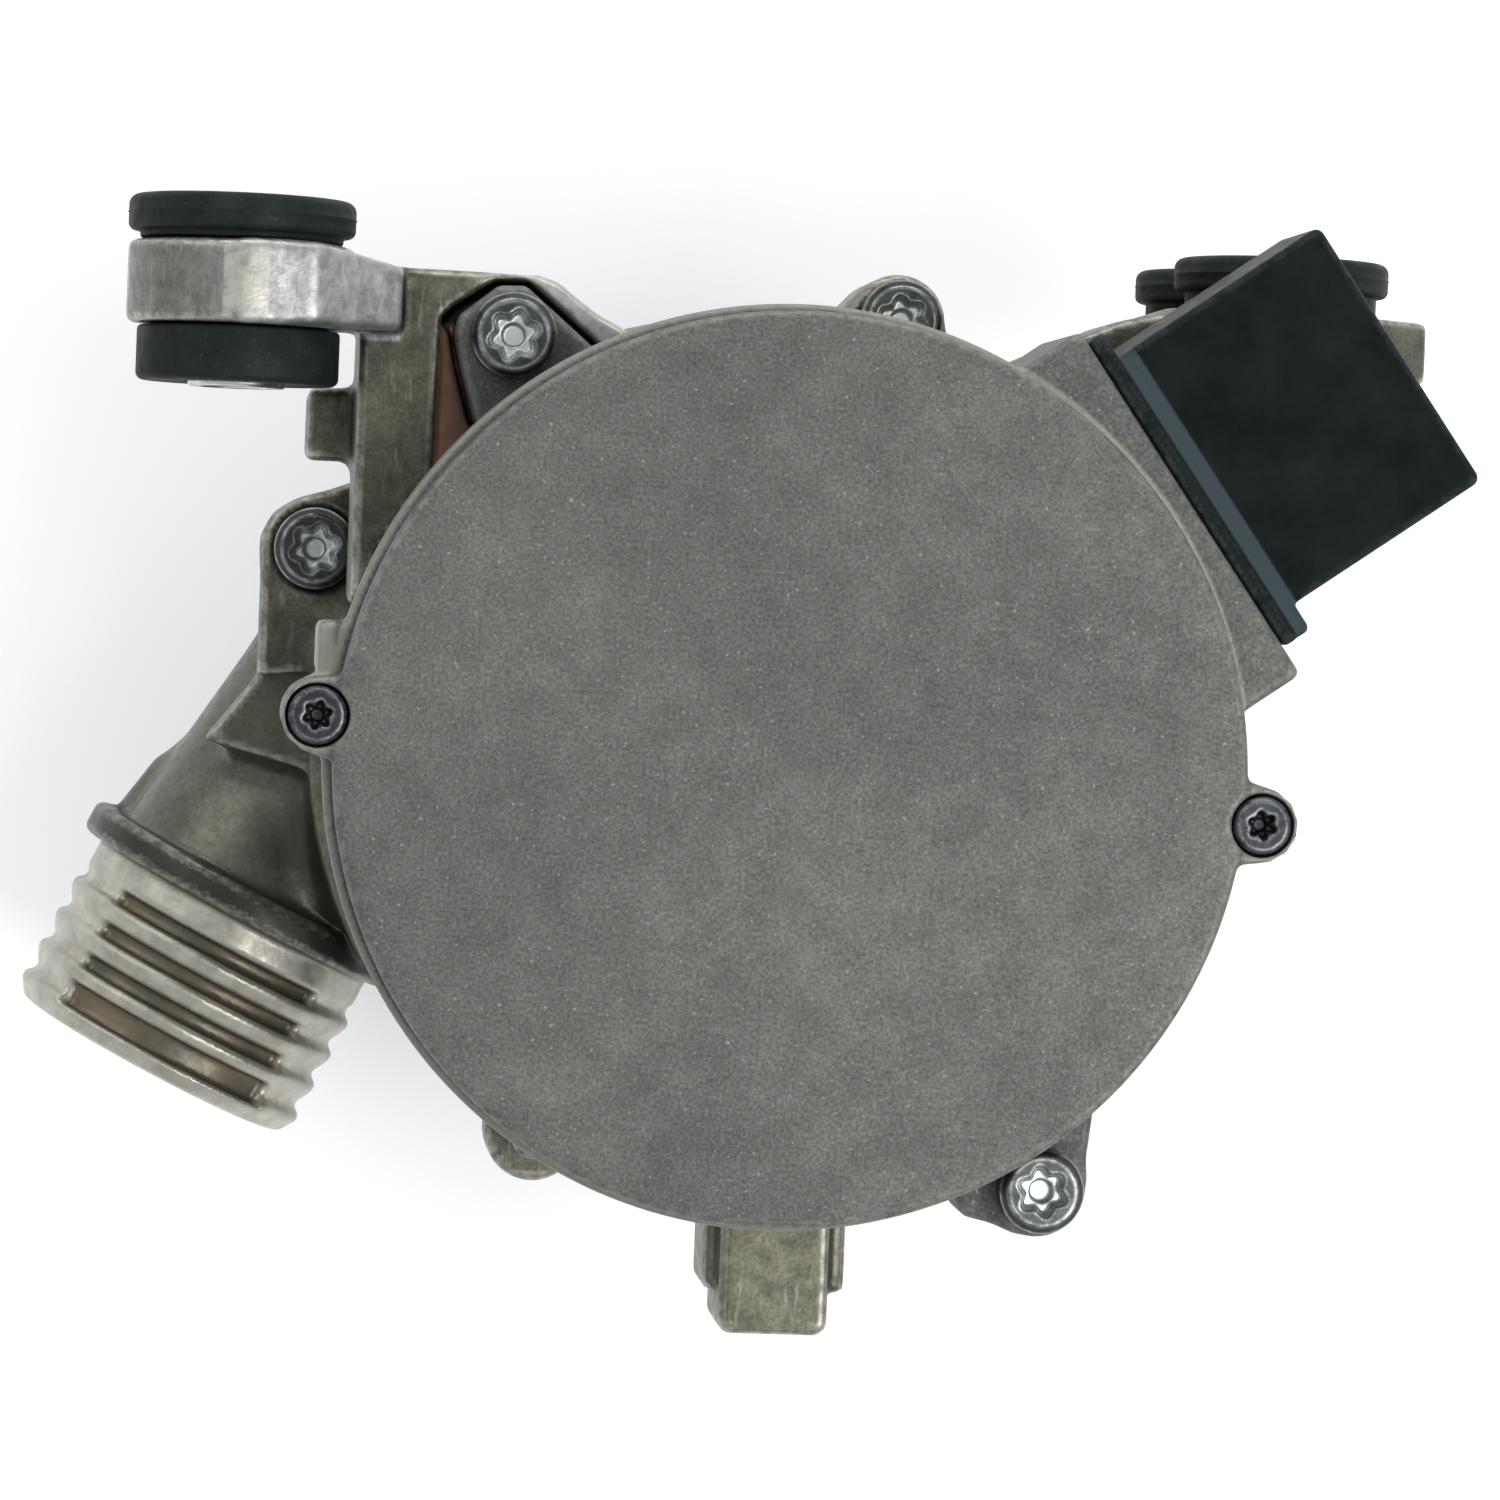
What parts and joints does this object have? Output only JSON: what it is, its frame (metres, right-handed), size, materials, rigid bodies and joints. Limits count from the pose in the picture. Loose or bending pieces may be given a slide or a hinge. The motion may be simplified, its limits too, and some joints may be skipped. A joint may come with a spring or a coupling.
{
  "type": "electric water pump",
  "caption": "Electric engine coolant pump with a round electronics cover, ribbed hose nozzles, a plug socket and rubber-bushed mounting ears",
  "frame": {"origin": "centre of the electronics cover's flat outer face, on the shaft axis", "axes": "+Z along the shaft axis out of the cover, +Y towards the heads of the mounting bolts, +X towards the plug socket"},
  "size_m": [0.1813, 0.1448, 0.1466],
  "materials": {
    "blasted_aluminium": "fine shot-blasted die casting, grey with pale specks",
    "cast_aluminium": "as-cast die casting, grey-brown, bright where tumbled or cut",
    "volute_aluminium": "die casting, dark on the body and bright on the turned hose nozzles",
    "zinc_steel": "zinc-plated steel, satin",
    "black_steel": "blackened steel",
    "bright_steel": "ground steel",
    "black_rubber": "moulded black rubber, slightly worn",
    "seal_rubber": "soft black seal rubber",
    "black_plastic": "glass-filled black plastic, satin",
    "can_plastic": "glass-filled dark plastic",
    "impeller_plastic": "glass-filled brown plastic",
    "tin_plate": "tin-plated copper alloy",
    "copper": "enamelled copper",
    "lamination_steel": "stacked electrical steel",
    "magnet": "dark ferrite",
    "carbon": "carbon-graphite",
    "board": "green lacquered glass-fibre board",
    "capacitor_can": "drawn aluminium can",
    "chip_plastic": "black moulding compound"
  },
  "bodies": {
    "housing": {"electronics_cover": "blasted_aluminium", "electronics_housing": "blasted_aluminium", "motor_housing": "cast_aluminium", "volute_housing": "volute_aluminium", "housing_screw_upper": "zinc_steel", "housing_screw_lower": "zinc_steel", "volute_screw_1": "zinc_steel", "volute_screw_2": "zinc_steel", "volute_screw_3": "zinc_steel", "volute_screw_4": "zinc_steel", "cover_screw_left": "black_steel", "cover_screw_right": "black_steel", "bush_sleeve_1": "bright_steel", "bush_sleeve_2": "bright_steel", "bush_sleeve_3": "bright_steel", "thrust_washer_rear": "bright_steel", "thrust_washer_front": "bright_steel", "mount_bush_1": "black_rubber", "mount_bush_2": "black_rubber", "mount_bush_3": "black_rubber", "cover_seal": "seal_rubber", "housing_seal": "seal_rubber", "connector_seal": "seal_rubber", "connector_shell": "black_plastic", "separating_can": "can_plastic", "bearing_plate": "can_plastic", "connector_pin_1": "tin_plate", "connector_pin_2": "tin_plate", "connector_pin_3": "tin_plate", "connector_pin_4": "tin_plate", "stator_coil_1": "copper", "stator_coil_2": "copper", "stator_coil_3": "copper", "stator_coil_4": "copper", "stator_coil_5": "copper", "stator_coil_6": "copper", "phase_lead_1": "copper", "phase_lead_2": "copper", "phase_lead_3": "copper", "stator_core": "lamination_steel", "choke_coil": "magnet", "rear_bearing": "carbon", "front_bearing": "carbon", "circuit_board": "board", "capacitor_1": "capacitor_can", "capacitor_2": "capacitor_can", "capacitor_3": "capacitor_can", "power_transistor_1": "chip_plastic", "power_transistor_2": "chip_plastic", "power_transistor_3": "chip_plastic", "control_chip": "chip_plastic"},
    "rotor": {"shaft": "bright_steel", "rotor_core": "lamination_steel", "rotor_magnet": "magnet", "impeller": "impeller_plastic", "impeller_shroud": "impeller_plastic", "impeller_nut": "bright_steel"}
  },
  "joints": [
    {"name": "rotor_spin", "type": "hinge", "parent": "housing", "child": "rotor", "pos_m": [0, 0, -0.06], "axis": [0, 0, 1], "continuous": true}
  ]
}
